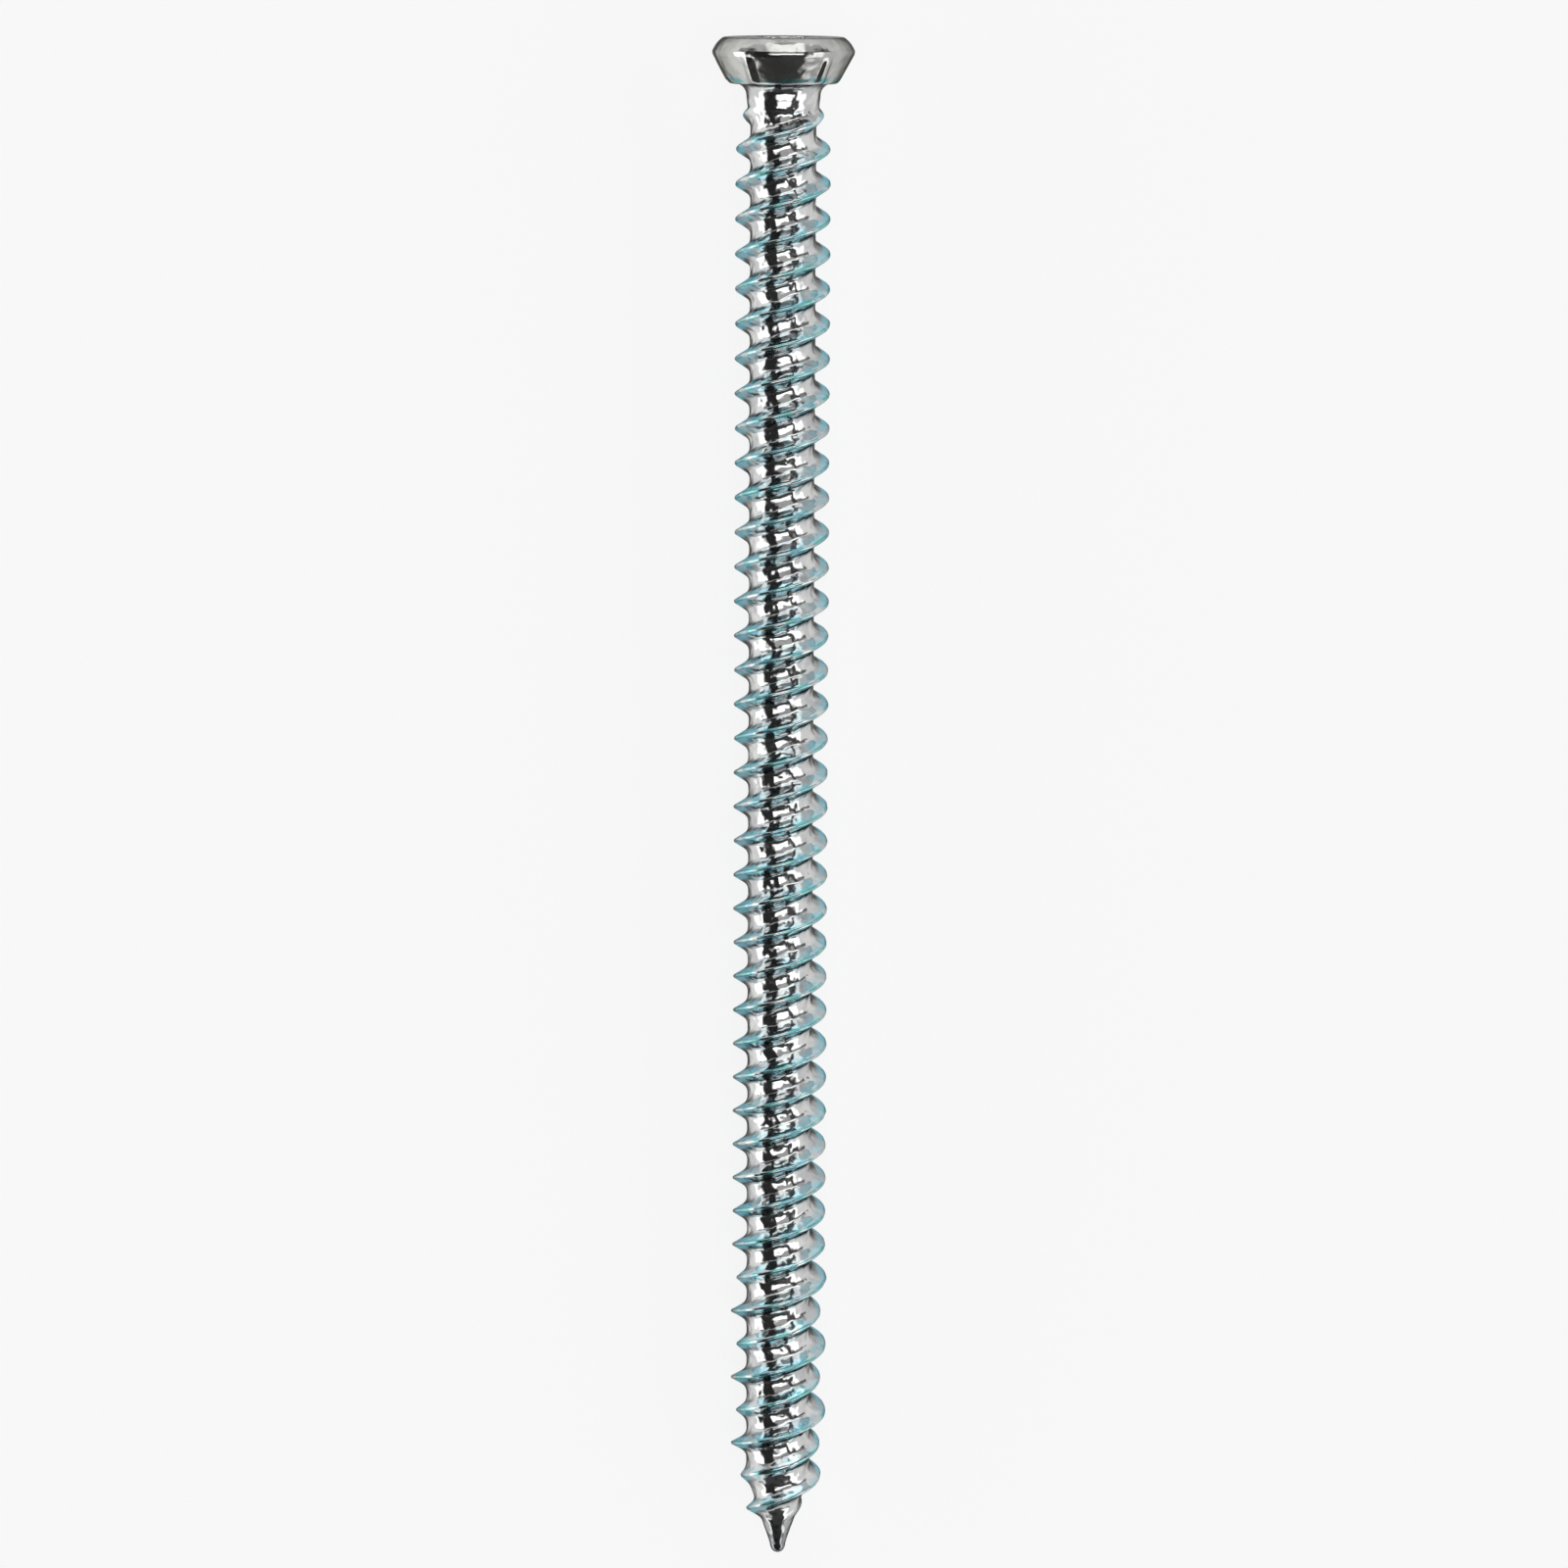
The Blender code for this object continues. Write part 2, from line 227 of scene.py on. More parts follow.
def add(tree, kind, *values, **named):
    """Adds a node. Values fill its live inputs in order: a node, a socket, a constant or None to skip.

    A name that starts with a capital is an input's, and the others are the node's own settings. A
    node that is given as a value stands for its first live output.
    """
    node = tree.nodes.new(kind)
    for name in [name for name in named if name[0].islower()]:
        setattr(node, name, named.pop(name))
    pairs = list(zip([s for s in node.inputs if s.enabled], values))
    pairs += [(node.inputs[name], value) for name, value in named.items()]
    for socket, value in pairs:
        if isinstance(value, bpy.types.Node):
            value = next(output for output in value.outputs if output.enabled)
        if isinstance(value, bpy.types.NodeSocket):
            tree.links.new(value, socket)
        elif value is not None:
            socket.default_value = value
    return node


def object_from(data, name):
    thing = bpy.data.objects.new(name, data)
    bpy.context.scene.collection.objects.link(thing)
    return thing


def arc(centre, radius, start, end, segments):
    """Points on an arc in a plane, both ends included."""
    points = []
    for i in range(segments + 1):
        angle = start + (end - start) * i / segments
        points.append((centre[0] + radius * math.cos(angle), centre[1] + radius * math.sin(angle)))
    return points


def thread_section():
    """One lead of the thread's section as (share of the ridge's height, place down the axis).

    Each ridge has a rounded crest, straight flanks and filleted feet in a level root.
    """
    height = CREST_RADIUS - CORE_RADIUS
    apex = height + CREST_ROUNDING * (1 / math.sin(FLANK_ANGLE) - 1)
    foot = apex * math.tan(FLANK_ANGLE)
    fillet_reach = ROOT_FILLET * math.tan((math.pi / 2 - FLANK_ANGLE) / 2)
    crest_centre = (0.0, height - CREST_ROUNDING)
    crest = arc(crest_centre, CREST_ROUNDING, math.pi / 2, FLANK_ANGLE, CREST_STEPS)
    fillet_centre = (foot + fillet_reach, ROOT_FILLET)
    fillet = arc(fillet_centre, ROOT_FILLET, math.pi + FLANK_ANGLE, math.pi * 1.5, ROOT_STEPS)
    flank = [Vector(crest[-1]).lerp(Vector(fillet[0]), share) for share in (1 / 3, 2 / 3)]
    half = crest + [tuple(point) for point in flank] + fillet + [(CREST_SPACING / 2, 0.0)]
    ridge = [(-along, up) for along, up in reversed(half[1:])] + half
    section = []
    for start in range(2):
        for along, up in ridge[start and 1:]:
            section.append((up / height, along + start * CREST_SPACING))
    return section


def shank_tree():
    """Nodes that sweep the section on the object up a helix and give the shank its neck and point."""
    tree = bpy.data.node_groups.new("threaded shank", "GeometryNodeTree")
    tree.is_modifier = True
    tree.interface.new_socket("Section", in_out="INPUT", socket_type="NodeSocketGeometry")
    tree.interface.new_socket("Shank", in_out="OUTPUT", socket_type="NodeSocketGeometry")
    for name in ("Section Points", "Columns"):
        tree.interface.new_socket(name, in_out="INPUT", socket_type="NodeSocketInt")
    sizes = ("Lowest Crest", "Lead", "Core Radius", "Crest Radius", "Neck Radius", "Neck Taper",
             "Neck Start", "Neck End", "Thread Top", "Thread Rise", "Cutting Depth",
             "High Start Extra", "Low Start Drop", "Point Depth", "Point Drop", "Nose Depth",
             "Nose Radius", "Length", "Wave Length", "Wave Height", "Crest Unevenness")
    for name in sizes:
        tree.interface.new_socket(name, in_out="INPUT", socket_type="NodeSocketFloat")
    tree.interface.new_socket("Material", in_out="INPUT", socket_type="NodeSocketMaterial")
    given = add(tree, "NodeGroupInput").outputs
    core_radius = given["Core Radius"]
    neck_end = given["Neck End"]
    thread_top = given["Thread Top"]
    point_depth = given["Point Depth"]
    nose_depth = given["Nose Depth"]
    length = given["Length"]

    # A sheet of points: columns along the helix and one row for each point of the section
    sheet = add(tree, "GeometryNodeMeshGrid", 1.0, 1.0, given["Columns"], given["Section Points"])
    position = add(tree, "GeometryNodeInputPosition")
    place = add(tree, "ShaderNodeSeparateXYZ", position).outputs
    numbers = []
    for axis, count in (("X", "Columns"), ("Y", "Section Points")):
        last = add(tree, MATH, given[count], 1.0, operation="SUBTRACT")
        across = add(tree, MATH, place[axis], 0.5, operation="ADD")
        across = add(tree, MATH, across, last, operation="MULTIPLY")
        numbers.append(add(tree, MATH, across, operation="ROUND"))
    column, row = numbers
    point = add(tree, "GeometryNodeSampleIndex", given["Section"], position, row,
                data_type="FLOAT_VECTOR", domain="POINT")
    section = add(tree, "ShaderNodeSeparateXYZ", point).outputs
    share = section["X"]
    along = section["Z"]

    # Where each point lies: its turn, and its depth held between the neck and the tip
    turns = add(tree, MATH, column, float(THREAD_SEGMENTS), operation="DIVIDE")
    angle = add(tree, MATH, turns, operation="FRACT")
    angle = add(tree, MATH, angle, math.tau, operation="MULTIPLY")
    climbed = add(tree, MATH, turns, given["Lead"], operation="MULTIPLY")
    depth = add(tree, MATH, given["Lowest Crest"], climbed, operation="SUBTRACT")
    depth = add(tree, MATH, depth, along, operation="ADD")
    depth = add(tree, MATH, depth, thread_top, operation="MAXIMUM")
    depth = add(tree, MATH, depth, length, operation="MINIMUM")

    # The radius between the ridges
    end_radius = add(tree, MATH, given["Neck Radius"], given["Neck Taper"], operation="SUBTRACT")
    neck = add(tree, RANGE, depth, given["Neck Start"], neck_end, given["Neck Radius"], end_radius)
    step_start = add(tree, MATH, neck_end, NECK_STEP_RISE, operation="SUBTRACT")
    step_stop = add(tree, MATH, neck_end, NECK_STEP_FALL, operation="ADD")
    neck = add(tree, RANGE, depth, step_start, step_stop, neck, core_radius,
               interpolation_type="SMOOTHSTEP")
    nose_share = add(tree, MATH, given["Nose Radius"], core_radius, operation="DIVIDE")
    cone = add(tree, RANGE, depth, point_depth, nose_depth, 1.0, nose_share)
    nose = add(tree, RANGE, depth, nose_depth, length)
    nose = add(tree, MATH, nose, nose, operation="MULTIPLY")
    nose = add(tree, MATH, 1.0, nose, operation="SUBTRACT")
    nose = add(tree, MATH, nose, operation="SQRT")
    point_share = add(tree, MATH, cone, nose, operation="MULTIPLY")
    core = add(tree, MATH, core_radius, point_share, operation="MULTIPLY")
    base = add(tree, MATH, neck, point_share, operation="MULTIPLY")

    # The height of the ridges, which differs between the two starts towards the point
    high_start = add(tree, MATH, along, CREST_SPACING / 2, operation="LESS_THAN")
    change = add(tree, MATH, given["High Start Extra"], given["Low Start Drop"], operation="ADD")
    change = add(tree, MATH, high_start, change, operation="MULTIPLY")
    change = add(tree, MATH, change, given["Low Start Drop"], operation="SUBTRACT")
    cutting_stop = add(tree, MATH, given["Cutting Depth"], CUTTING_BLEND, operation="ADD")
    cutting = add(tree, RANGE, depth, given["Cutting Depth"], cutting_stop,
                  interpolation_type="SMOOTHSTEP")
    change = add(tree, MATH, change, cutting, operation="MULTIPLY")
    full = add(tree, MATH, given["Crest Radius"], core_radius, operation="SUBTRACT")
    full = add(tree, MATH, full, change, operation="ADD")
    drop_start = add(tree, MATH, point_depth, POINT_BLEND, operation="SUBTRACT")
    drop = add(tree, RANGE, depth, drop_start, point_depth, 0.0, given["Point Drop"],
               interpolation_type="SMOOTHSTEP")
    full = add(tree, MATH, full, drop, operation="SUBTRACT")

    # How much of that height is there: the ridges rise from the neck and fade on the point
    rise_stop = add(tree, MATH, thread_top, given["Thread Rise"], operation="ADD")
    rise = add(tree, RANGE, depth, thread_top, rise_stop, 1.0, 0.0)
    rise = add(tree, MATH, rise, RISE_POWER, operation="POWER")
    rise = add(tree, MATH, 1.0, rise, operation="SUBTRACT")
    ridge_end = add(tree, MATH, high_start, HIGH_START_END - LOW_START_END, operation="MULTIPLY")
    ridge_end = add(tree, MATH, ridge_end, LOW_START_END, operation="ADD")
    fade_start = add(tree, MATH, ridge_end, RIDGE_FADE, operation="SUBTRACT")
    fade = add(tree, RANGE, depth, fade_start, ridge_end, 1.0, 0.0, interpolation_type="SMOOTHSTEP")
    strength = add(tree, MATH, rise, fade, operation="MULTIPLY")
    ridge = add(tree, MATH, full, strength, operation="MULTIPLY")
    ridge = add(tree, MATH, share, ridge, operation="MULTIPLY")
    ridge = add(tree, MATH, core, ridge, operation="ADD")
    blend_stop = add(tree, MATH, neck_end, NECK_BLEND_LENGTH, operation="ADD")
    blend = add(tree, RANGE, depth, neck_end, blend_stop, NECK_BLEND, 0.0)
    smooth_radius = add(tree, MATH, base, ridge, blend, operation="SMOOTH_MAX")

    # Low waves all over and uneven crests, which die out at the neck and the tip
    sine = add(tree, MATH, angle, operation="SINE")
    cosine = add(tree, MATH, angle, operation="COSINE")
    around = add(tree, "ShaderNodeCombineXYZ", sine, cosine, 0.0)
    around = add(tree, VECTOR, around, Scale=smooth_radius, operation="SCALE")
    deep = add(tree, "ShaderNodeCombineXYZ", 0.0, 0.0, depth)
    spot = add(tree, VECTOR, around, deep, operation="ADD")
    waves_per_metre = add(tree, MATH, 1.0, given["Wave Length"], operation="DIVIDE")
    spot = add(tree, VECTOR, spot, Scale=waves_per_metre, operation="SCALE")
    wave = add(tree, NOISE, spot, Scale=1.0, Detail=1.0, Roughness=0.4)
    wave = add(tree, MATH, wave, 0.5, operation="SUBTRACT")
    wave_range = add(tree, MATH, given["Wave Height"], 2.0, operation="MULTIPLY")
    wave = add(tree, MATH, wave, wave_range, operation="MULTIPLY")
    elsewhere = add(tree, VECTOR, spot, (40.0, 0.0, 0.0), operation="ADD")
    jag = add(tree, NOISE, elsewhere, Scale=0.9, Detail=2.0, Roughness=0.6)
    jag = add(tree, MATH, jag, 0.6, operation="SUBTRACT")
    jag_range = add(tree, MATH, given["Crest Unevenness"], 2.0, operation="MULTIPLY")
    jag = add(tree, MATH, jag, jag_range, operation="MULTIPLY")
    on_crest = add(tree, MATH, share, CREST_POWER, operation="POWER")
    on_crest = add(tree, MATH, strength, on_crest, operation="MULTIPLY")
    jag = add(tree, MATH, jag, on_crest, operation="MULTIPLY")
    from_neck = add(tree, RANGE, depth, thread_top, neck_end)
    to_tip = add(tree, RANGE, depth, nose_depth, length, 1.0, 0.0)
    between = add(tree, MATH, from_neck, to_tip, operation="MULTIPLY")
    uneven = add(tree, MATH, wave, jag, operation="ADD")
    uneven = add(tree, MATH, uneven, between, operation="MULTIPLY")
    radius = add(tree, MATH, smooth_radius, uneven, operation="ADD")

    # The finished place, and before it a note of how far up its ridge each point lies
    right = add(tree, MATH, radius, sine, operation="MULTIPLY")
    back = add(tree, MATH, radius, cosine, operation="MULTIPLY")
    back = add(tree, MATH, back, -1.0, operation="MULTIPLY")
    up = add(tree, MATH, depth, -1.0, operation="MULTIPLY")
    where = add(tree, "ShaderNodeCombineXYZ", right, back, up)
    up_ridge = add(tree, MATH, share, strength, operation="MULTIPLY")
    noted = add(tree, "GeometryNodeStoreNamedAttribute", sheet, None, "ridge", up_ridge,
                data_type="FLOAT", domain="POINT")
    shaped = add(tree, "GeometryNodeSetPosition", noted, None, where)
    welded = add(tree, "GeometryNodeMergeByDistance", shaped, None, WELD)
    real = add(tree, "GeometryNodeRealizeInstances", welded)
    dressed = add(tree, "GeometryNodeSetMaterial", real, None, given["Material"])
    add(tree, "NodeGroupOutput", dressed)
    return tree


def make_shank(material):
    """The neck's lower end, the threaded shank and the point, as an open tube from THREAD_TOP down."""
    section = thread_section()
    section_mesh = bpy.data.meshes.new("thread_section")
    edges = [(i, i + 1) for i in range(len(section) - 1)]
    section_mesh.from_pydata([(share, 0.0, along) for share, along in section], edges, [])
    shank = object_from(section_mesh, "shank")
    leads_below = math.ceil((LENGTH + CREST_SPACING - FRONT_CREST_DEPTH) / LEAD)
    lowest_crest = FRONT_CREST_DEPTH + LEAD * leads_below
    turns = math.ceil((lowest_crest + LEAD - THREAD_TOP) / LEAD)
    sizes = {
        "Section Points": len(section), "Columns": turns * THREAD_SEGMENTS + 1,
        "Lowest Crest": lowest_crest, "Lead": LEAD, "Core Radius": CORE_RADIUS,
        "Crest Radius": CREST_RADIUS, "Neck Radius": NECK_RADIUS, "Neck Taper": NECK_TAPER,
        "Neck Start": NECK_START, "Neck End": NECK_END,
        "Thread Top": THREAD_TOP, "Thread Rise": THREAD_RISE, "Cutting Depth": CUTTING_DEPTH,
        "High Start Extra": HIGH_START_EXTRA, "Low Start Drop": LOW_START_DROP,
        "Point Depth": POINT_DEPTH, "Point Drop": POINT_DROP, "Nose Depth": NOSE_DEPTH,
        "Nose Radius": NOSE_RADIUS,
        "Length": LENGTH, "Wave Length": WAVE_LENGTH, "Wave Height": WAVE_HEIGHT,
        "Crest Unevenness": CREST_UNEVENNESS, "Material": material}
    modifier = shank.modifiers.new("threaded shank", "NODES")
    modifier.node_group = shank_tree()
    for item in modifier.node_group.interface.items_tree:
        if item.in_out == "INPUT" and item.name in sizes:
            modifier[item.identifier] = sizes[item.name]
    graph = bpy.context.evaluated_depsgraph_get()
    mesh = bpy.data.meshes.new_from_object(shank.evaluated_get(graph))
    bpy.data.objects.remove(shank, do_unlink=True)
    return mesh


def recess_radius(angle):
    """The radius of the six-lobe outline at an angle: an arc in each lobe and one in each valley.

    The two arcs touch, which gives the valley's arc its size.
    """
    half_pitch = math.pi / RECESS_LOBES
    centre = RECESS_RADIUS - RECESS_LOBE_RADIUS
    valley = RECESS_RADIUS - RECESS_VALLEY
    reach = centre * math.cos(half_pitch)
    apart = centre ** 2 + valley ** 2 - 2 * reach * valley
    valley_arc = (apart - RECESS_LOBE_RADIUS ** 2) / (2 * (reach + RECESS_LOBE_RADIUS - valley))
    far = valley + valley_arc
    to_valley = Vector((far * math.cos(half_pitch) - centre, far * math.sin(half_pitch))).normalized()
    touch = Vector((centre, 0.0)) + to_valley * RECESS_LOBE_RADIUS
    touch_angle = math.atan2(touch.y, touch.x)
    off = abs((angle - RECESS_FIRST_LOBE + half_pitch) % (2 * half_pitch) - half_pitch)
    if off < touch_angle:
        lobe_rise = math.sqrt(RECESS_LOBE_RADIUS ** 2 - (centre * math.sin(off)) ** 2)
        return centre * math.cos(off) + lobe_rise
    off = half_pitch - off
    valley_rise = math.sqrt(valley_arc ** 2 - (far * math.sin(off)) ** 2)
    return far * math.cos(off) - valley_rise


def rib_rise(angle, radius, down_cone):
    """How far a rib stands out at a place on the cone: rounded across, and run out at both ends."""
    pitch = math.tau / RIB_COUNT
    off = (angle - RIB_ANGLE + pitch / 2) % pitch - pitch / 2
    across = min(abs(off) * radius / RIB_HALF_WIDTH, 1.0)
    along = min(down_cone / RIB_TOP_RUN_OUT, (RIB_FOOT - down_cone) / RIB_FOOT_RUN_OUT, 1.0)
    return RIB_HEIGHT * max(along, 0.0) * (1 + math.cos(math.pi * across)) / 2


def rounded(corners, segments):
    """A line through (radius, depth, rounding) corners with an arc in place of each corner.

    A point just before and after each arc keeps the faces beside it flat.
    """
    points = [corners[0][:2]]
    for before, corner, after in zip(corners, corners[1:], corners[2:]):
        here = Vector(corner[:2])
        to_before = Vector(before[:2]) - here
        to_after = Vector(after[:2]) - here
        if corner[2] == 0:
            points.append(corner[:2])
            continue
        first = here + to_before.normalized() * min(corner[2], to_before.length * LONGEST_ROUNDING)
        last = here + to_after.normalized() * min(corner[2], to_after.length * LONGEST_ROUNDING)
        points.append(tuple(first + to_before.normalized() * EDGE_HOLD))
        for i in range(segments + 1):
            share = i / segments
            point = first.lerp(here, share).lerp(here.lerp(last, share), share)
            points.append((point.x, point.y))
        points.append(tuple(last + to_after.normalized() * EDGE_HOLD))
    points.append(corners[-1][:2])
    return points


def head_outside():
    """The head's outline from the edge of its flat top to the neck, as (radius, depth) points."""
    flat = HEAD_RADIUS - CHAMFER_WIDTH
    outwards = Vector((CHAMFER_DEPTH, -CHAMFER_WIDTH)).normalized() * CHAMFER_BULGE
    bulge = (HEAD_RADIUS - CHAMFER_WIDTH / 2 + outwards.x, CHAMFER_DEPTH / 2 + outwards.y)
    fillet_radius = NECK_RADIUS + NECK_FILLET
    ledge = fillet_radius + LEDGE_WIDTH
    corners = [
        (flat - FLAT_EDGE_WIDTH, 0.0, 0.0),
        (flat, 0.0, TOP_ROUNDING),
        (*bulge, CHAMFER_ROUNDING),
        (HEAD_RADIUS, CHAMFER_DEPTH, SHOULDER_ROUNDING),
        (HEAD_RADIUS - LAND_TAPER, LAND_END, LAND_ROUNDING),
        (ledge, HEAD_DEPTH, LEDGE_ROUNDING),
        (fillet_radius + LEDGE_HOLD, HEAD_DEPTH, 0.0),
    ]
    fillet_centre = (fillet_radius, HEAD_DEPTH + NECK_FILLET)
    fillet = arc(fillet_centre, NECK_FILLET, -math.pi / 2, -math.pi, FILLET_STEPS)
    return rounded(corners, ROUNDING_STEPS) + fillet


def head_rings():
    """Rings of points from the middle of the recess's floor, over the top and down to the neck."""
    angles = [math.tau * i / HEAD_SEGMENTS for i in range(HEAD_SEGMENTS)]
    recess = [recess_radius(angle) for angle in angles]
    rings = []

    def ring(radii, depths):
        rings.append([(radius, depth, angle) for radius, depth, angle in zip(radii, depths, angles)])

    for share in RECESS_FLOOR_RINGS:
        floor = RECESS_DEPTH + RECESS_FLOOR_CONE * (1 - share)
        ring([radius * share for radius in recess], [floor] * HEAD_SEGMENTS)
    for depth in RECESS_WALL_DEPTHS:
        ring(recess, [depth] * HEAD_SEGMENTS)
    for i in range(ROUNDING_STEPS + 1):
        turn = math.pi / 2 * i / ROUNDING_STEPS
        out = RECESS_EDGE * (1 - math.cos(turn))
        down = RECESS_EDGE * (1 - math.sin(turn))
        ring([radius + out for radius in recess], [down] * HEAD_SEGMENTS)
    outside = head_outside()
    for share in FLAT_TOP_RINGS:
        ring([(radius + RECESS_EDGE) * (1 - share) + outside[0][0] * share for radius in recess],
             [0.0] * HEAD_SEGMENTS)
    steps = []
    for (radius, depth), (next_radius, next_depth) in zip(outside, outside[1:]):
        long_cone = LAND_END <= depth < HEAD_DEPTH and next_depth - depth > LONG_STEP
        count = CONE_STEPS if long_cone else 1
        for i in range(count):
            share = i / count
            step = (radius + (next_radius - radius) * share, depth + (next_depth - depth) * share)
            steps.append(step)
    steps.append(outside[-1])
    thread_top_share = (THREAD_TOP - NECK_START) / NECK_LENGTH
    steps.append((NECK_RADIUS - NECK_TAPER * thread_top_share, THREAD_TOP))
    ledge = NECK_RADIUS + NECK_FILLET + LEDGE_WIDTH
    for radius, depth in steps:
        down_cone = min(max((depth - LAND_END) / CONE_DEPTH, 0.0), 1.0)
        on_rib = down_cone if radius > ledge - RIB_LEDGE_GAP else 0.0
        ring([radius + rib_rise(angle, radius, on_rib) for angle in angles], [depth] * HEAD_SEGMENTS)
    return rings


def make_head(bm):
    """Adds the head to the mesh and returns the vertices of its lowest ring."""
    centre = bm.verts.new((0.0, 0.0, -(RECESS_DEPTH + RECESS_FLOOR_CONE)))
    previous = None
    for ring in head_rings():
        vertices = []
        for radius, depth, angle in ring:
            vertices.append(bm.verts.new((radius * math.sin(angle), -radius * math.cos(angle), -depth)))
        for i, vertex in enumerate(vertices):
            after = vertices[(i + 1) % HEAD_SEGMENTS]
            if previous is None:
                bm.faces.new((centre, vertex, after))
            else:
                bm.faces.new((previous[i], vertex, after, previous[(i + 1) % HEAD_SEGMENTS]))
        previous = vertices
    return previous


def open_edges(bm):
    return [edge for edge in bm.edges if edge.is_boundary]


def make_screw(material):
    """The whole screw as one closed mesh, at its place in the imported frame."""
    shank = make_shank(material)
    bm = bmesh.new()
    bm.from_mesh(shank)
    make_head(bm)
    bmesh.ops.bridge_loops(bm, edges=open_edges(bm))
    bmesh.ops.recalc_face_normals(bm, faces=bm.faces)
    bmesh.ops.triangulate(bm, faces=[face for face in bm.faces if len(face.verts) > 4])
    bm.transform(own_frame())
    mesh = bpy.data.meshes.new("plated_screw")
    bm.to_mesh(mesh)
    bm.free()
    mesh.materials.clear()
    mesh.materials.append(material)
    mesh.shade_smooth()
    mesh.set_sharp_from_angle(angle=SHARP_EDGE)
    return object_from(mesh, "plated_screw")


def zinc_plate():
    """Bright electroplated zinc on rolled steel, passivated blue.

    It is nearly a mirror, broken up by the low ripples of the rolled wire. The film of the blue
    passivation stays clear in the roots, is pale blue on the flanks and turns teal on the crests and
    round the ledge, in uneven patches. The headed end is duller. Painted shade darkens the tip and
    the grazing edges.
    """
    material = bpy.data.materials.new("bright_zinc_plate_blue_passivated")
    material.use_nodes = True
    tree = material.node_tree
    tree.nodes.clear()
    place = add(tree, "ShaderNodeTexCoord").outputs["Object"]
    along = add(tree, "ShaderNodeSeparateXYZ", place).outputs["Y"]
    ridge = add(tree, "ShaderNodeAttribute", attribute_name="ridge").outputs["Fac"]

    # The bare plate: faintly mottled light greys, duller on the head, which wasn't rolled
    mottle = add(tree, NOISE, place, Scale=1 / MOTTLE_SIZE, Detail=3.0, Roughness=0.6)
    mottle = add(tree, RANGE, mottle, 0.40, 0.62)
    shank_plate = add(tree, MIX, mottle, linear("#E0E1DF"), linear("#C6C6C8"), data_type="RGBA")
    head_plate = add(tree, MIX, mottle, linear("#C6C6C3"), linear("#B4B4B1"), data_type="RGBA")
    on_head = add(tree, RANGE, along, *DULL_HEAD, 0.0, 0.9)
    bare = add(tree, MIX, on_head, shank_plate, head_plate, data_type="RGBA")

    # Thin film: pale blue on the flanks, in uneven patches
    patches = add(tree, NOISE, place, Scale=1 / FILM_PATCH_SIZE, Detail=2.0, Roughness=0.55)
    thick = add(tree, RANGE, patches, 0.40, 0.60, 0.05, 1.0)
    on_flank = add(tree, RANGE, ridge, *FLANK_FILM)
    on_flank = add(tree, MATH, on_flank, thick, operation="MULTIPLY")
    plate = add(tree, MIX, on_flank, bare, linear("#BADDE6"), data_type="RGBA")

    # Thick film: teal that drifts to blue, on the crests and in a line just above the ledge
    drift = add(tree, NOISE, place, Scale=1 / FILM_HUE_SIZE, Detail=1.0, Distortion=0.4)
    hue = add(tree, RANGE, drift, 0.38, 0.62)
    teal = add(tree, MIX, hue, linear("#5ABCB2"), linear("#6CB0C3"), data_type="RGBA")
    crest = add(tree, RANGE, ridge, *CREST_FILM)
    below_cone = add(tree, RANGE, along, *LEDGE_FILM_TOP)
    above_neck = add(tree, RANGE, along, *LEDGE_FILM_FOOT, 0.0, 0.8)
    on_ledge = add(tree, MATH, below_cone, above_neck, operation="MULTIPLY")
    flattened = add(tree, VECTOR, place, (1.0, 0.0, 1.0), operation="MULTIPLY")
    radius = add(tree, VECTOR, flattened, (0.0, 0.0, HEAD_AXIS_HEIGHT), operation="DISTANCE")
    outside = add(tree, RANGE, radius, *LEDGE_FILM_INSIDE)
    on_ledge = add(tree, MATH, on_ledge, outside, operation="MULTIPLY")
    coated = add(tree, MATH, crest, on_ledge, operation="MAXIMUM")
    coated = add(tree, MATH, coated, thick, operation="MULTIPLY")
    colour = add(tree, MIX, coated, plate, teal, data_type="RGBA")

    # Paler where the very crests are rubbed, and darker on the tip, which is painted shade
    rubbed = add(tree, RANGE, ridge, *CREST_RUB, 0.0, 0.35)
    colour = add(tree, MIX, rubbed, colour, linear("#CFDCDA"), data_type="RGBA")
    painted_tip_shade = add(tree, RANGE, along, *TIP_PAINTED_SHADE, 0.0, 0.8)
    colour = add(tree, MIX, painted_tip_shade, colour, linear("#7C8082"), data_type="RGBA")

    # At a grazing view the plate is darkened with painted shade at its outlines, darkest in the roots
    # and grey on the crests, while the film on the flanks looks sky blue
    on_ridge = add(tree, RANGE, ridge, *FLANK_EDGE)
    on_rim = add(tree, RANGE, ridge, *CREST_EDGE)
    edge = add(tree, MIX, on_ridge, linear("#6A6A67"), linear("#A4DEEC"), data_type="RGBA")
    edge = add(tree, MIX, on_rim, edge, linear("#ACAAAA"), data_type="RGBA")

    # Its gloss: near a mirror's, uneven with the grain, and a little more matt in the thick film
    grain = add(tree, NOISE, place, Scale=1 / GRAIN_SIZE, Detail=3.0, Roughness=0.6)
    gloss = add(tree, RANGE, grain, 0.3, 0.7, 0.08, 0.16)
    gloss = add(tree, MATH, coated, 0.20, gloss, operation="MULTIPLY_ADD")

